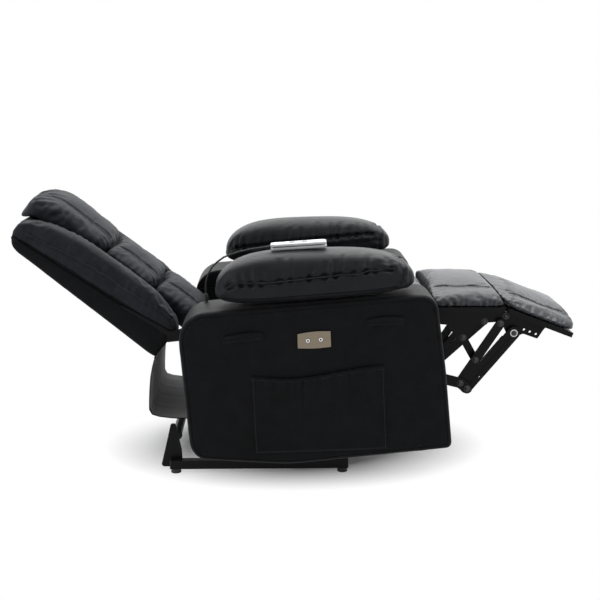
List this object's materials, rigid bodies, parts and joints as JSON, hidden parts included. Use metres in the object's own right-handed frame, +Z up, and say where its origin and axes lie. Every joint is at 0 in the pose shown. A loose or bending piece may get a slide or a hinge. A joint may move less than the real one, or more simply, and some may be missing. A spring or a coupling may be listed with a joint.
{
  "type": "lift recliner chair",
  "caption": "Powered lift recliner with padded back, arm pads, folding leg rest linkage, lift base, side pocket and corded handset.",
  "frame": {"origin": "middle of the chair's outline on the floor, with the back reclined and the leg rest out", "axes": "+X towards the feet, +Y towards the sitter's left, +Z up"},
  "size_m": [1.5891, 0.8694, 0.8037],
  "materials": {
    "panel_leather": "black faux leather, fine grain, low sheen",
    "pad_leather": "soft black faux leather over foam, with gathers",
    "black_steel": "black powder coat on steel",
    "zinc_steel": "zinc plated steel",
    "satin_plate": "satin nickel, warm tone",
    "white_plastic": "white moulded plastic",
    "grey_plastic": "grey moulded keys",
    "black_plastic": "black moulded plastic",
    "black_rubber": "black rubber",
    "black_cloth": "black lining cloth",
    "board": "black painted plywood",
    "pine": "plain softwood boards",
    "core_leather": "black faux leather over a hollow padded frame"
  },
  "bodies": {
    "base": {"base_right_rail": "black_steel", "base_left_rail": "black_steel", "base_cross_tubes": "black_steel", "base_rear_tube": "black_steel", "base_rear_brackets": "black_steel", "lift_pivot_brackets": "black_steel", "base_feet": "black_rubber", "lift_pivot_pins": "zinc_steel"},
    "lift_arms": {"lift_arm_right": "black_steel", "lift_arm_left": "black_steel", "lift_cross_tube": "black_steel"},
    "lift_stay": {"lift_stays": "black_steel"},
    "lift_motor": {"lift_motor": "black_steel"},
    "lift_rod": {"lift_motor_rod": "zinc_steel"},
    "seat_unit": {"mechanism_plate_right": "black_steel", "mechanism_plate_left": "black_steel", "front_cross_bar": "black_steel", "rear_cross_bar": "black_steel", "lift_hangers": "black_steel", "motion_hangers": "black_steel", "seat_frame": "pine", "seat_springs": "zinc_steel", "rear_bottom_rail": "pine", "seat_cushion": "pad_leather", "rear_skirt": "black_cloth", "side_panel_right": "core_leather", "side_panel_left": "core_leather", "arm_pad_right": "pad_leather", "arm_pad_left": "pad_leather", "side_pocket": "panel_leather", "grab_straps": "panel_leather", "button_plate": "satin_plate", "handset": "white_plastic", "handset_cord": "black_rubber", "cord_gland": "black_plastic"},
    "recline_button": {"button_recline": "satin_plate"},
    "return_button": {"button_return": "satin_plate"},
    "up_key": {"handset_key_up": "grey_plastic"},
    "down_key": {"handset_key_down": "grey_plastic"},
    "back": {"back_brackets": "black_steel", "back_shell": "core_leather", "bolster_right": "pad_leather", "bolster_left": "pad_leather", "head_pillow": "pad_leather", "middle_pillow": "pad_leather", "lumbar_pillow": "pad_leather"},
    "leg_rest": {"calf_board": "board", "calf_pad": "pad_leather", "calf_brackets": "black_steel"},
    "foot_rest": {"foot_board": "board", "foot_pad": "pad_leather", "foot_brackets": "black_steel"},
    "swing_arm": {"swing_arms": "black_steel"},
    "rear_parallel_link": {"rear_parallel_links": "black_steel"},
    "front_channel_link": {"front_channel_links": "black_steel"},
    "cross_link": {"cross_links": "black_steel"},
    "push_link": {"push_links": "black_steel"},
    "torque": {"torque_tube": "black_steel"},
    "recline_motor": {"recline_motor": "black_steel"},
    "recline_rod": {"recline_motor_rod": "zinc_steel"}
  },
  "joints": [
    {"name": "lift", "type": "hinge", "parent": "base", "child": "lift_arms", "pos_m": [-0.00312, 0, 0.1], "axis": [0, 1, 0], "range_deg": [0, 65]},
    {"name": "seat_tilt", "type": "hinge", "parent": "lift_arms", "child": "seat_unit", "pos_m": [-0.25312, 0, 0.13], "axis": [0, 1, 0], "range_deg": [-46, 0]},
    {"name": "stay_swing", "type": "hinge", "parent": "base", "child": "lift_stay", "pos_m": [0.09688, 0, 0.09], "axis": [0, 1, 0], "range_deg": [0, 78]},
    {"name": "lift_motor_swing", "type": "hinge", "parent": "base", "child": "lift_motor", "pos_m": [0.05688, 0, 0.084], "axis": [0, 1, 0], "range_deg": [0, 40]},
    {"name": "lift_rod_travel", "type": "slide", "parent": "lift_motor", "child": "lift_rod", "axis": [-0.8971, 0, 0.4418], "range_m": [-0.031, 0]},
    {"name": "back_recline", "type": "hinge", "parent": "seat_unit", "child": "back", "pos_m": [-0.28312, 0, 0.4], "axis": [0, 1, 0], "range_deg": [0, 40]},
    {"name": "leg_rest_fold", "type": "hinge", "parent": "seat_unit", "child": "leg_rest", "pos_m": [0.38688, 0, 0.428], "axis": [0, 1, 0], "range_deg": [0, 90]},
    {"name": "foot_rest_fold", "type": "hinge", "parent": "leg_rest", "child": "foot_rest", "pos_m": [0.59588, 0, 0.436], "axis": [0, 1, 0], "range_deg": [0, 7]},
    {"name": "swing_arm_turn", "type": "hinge", "parent": "seat_unit", "child": "swing_arm", "pos_m": [0.38688, 0, 0.408], "axis": [0, 1, 0], "range_deg": [0, 101]},
    {"name": "rear_link_turn", "type": "hinge", "parent": "swing_arm", "child": "rear_parallel_link", "pos_m": [0.46688, 0, 0.246], "axis": [0, 1, 0], "range_deg": [-9, 0]},
    {"name": "channel_link_turn", "type": "hinge", "parent": "swing_arm", "child": "front_channel_link", "pos_m": [0.48688, 0, 0.23], "axis": [0, 1, 0], "range_deg": [-9, 0]},
    {"name": "cross_link_turn", "type": "hinge", "parent": "leg_rest", "child": "cross_link", "pos_m": [0.47488, 0, 0.374], "axis": [0, 1, 0], "range_deg": [0, 2]},
    {"name": "torque_turn", "type": "hinge", "parent": "seat_unit", "child": "torque", "pos_m": [0.21688, 0, 0.27], "axis": [0, 1, 0], "range_deg": [0, 92]},
    {"name": "push_link_turn", "type": "hinge", "parent": "torque", "child": "push_link", "pos_m": [0.36288, 0, 0.263], "axis": [0, 1, 0], "range_deg": [-92, 0]},
    {"name": "recline_motor_swing", "type": "hinge", "parent": "seat_unit", "child": "recline_motor", "pos_m": [-0.11312, 0, 0.2], "axis": [0, 1, 0], "range_deg": [0, 1]},
    {"name": "recline_rod_travel", "type": "slide", "parent": "recline_motor", "child": "recline_rod", "axis": [0.9965, 0, 0.0837], "range_m": [-0.079, 0]},
    {"name": "recline_button_press", "type": "slide", "parent": "seat_unit", "child": "recline_button", "axis": [0, 1, 0], "range_m": [0, 0.0015], "stiffness_N_per_m": 400},
    {"name": "return_button_press", "type": "slide", "parent": "seat_unit", "child": "return_button", "axis": [0, 1, 0], "range_m": [0, 0.0015], "stiffness_N_per_m": 400},
    {"name": "up_key_press", "type": "slide", "parent": "seat_unit", "child": "up_key", "axis": [0.0645, 0, -0.9979], "range_m": [0, 0.001], "stiffness_N_per_m": 400},
    {"name": "down_key_press", "type": "slide", "parent": "seat_unit", "child": "down_key", "axis": [0.0645, 0, -0.9979], "range_m": [0, 0.001], "stiffness_N_per_m": 400}
  ],
  "couplings": [
    {"joint": "seat_tilt", "follows": "lift", "ratio": -0.7},
    {"joint": "stay_swing", "follows": "lift", "ratio": 1.187},
    {"joint": "lift_motor_swing", "follows": "lift", "ratio": 0.6075},
    {"joint": "lift_rod_travel", "follows": "lift", "m_per_rad": -0.02726},
    {"joint": "foot_rest_fold", "follows": "leg_rest_fold", "ratio": 0.07},
    {"joint": "swing_arm_turn", "follows": "leg_rest_fold", "ratio": 1.1132},
    {"joint": "rear_link_turn", "follows": "leg_rest_fold", "ratio": -0.0916},
    {"joint": "channel_link_turn", "follows": "leg_rest_fold", "ratio": -0.0996},
    {"joint": "cross_link_turn", "follows": "leg_rest_fold", "ratio": 0.0157},
    {"joint": "torque_turn", "follows": "leg_rest_fold", "ratio": 1.014},
    {"joint": "push_link_turn", "follows": "leg_rest_fold", "ratio": -1.0134},
    {"joint": "recline_motor_swing", "follows": "leg_rest_fold", "ratio": 0.0055},
    {"joint": "recline_rod_travel", "follows": "leg_rest_fold", "m_per_rad": -0.0499}
  ]
}
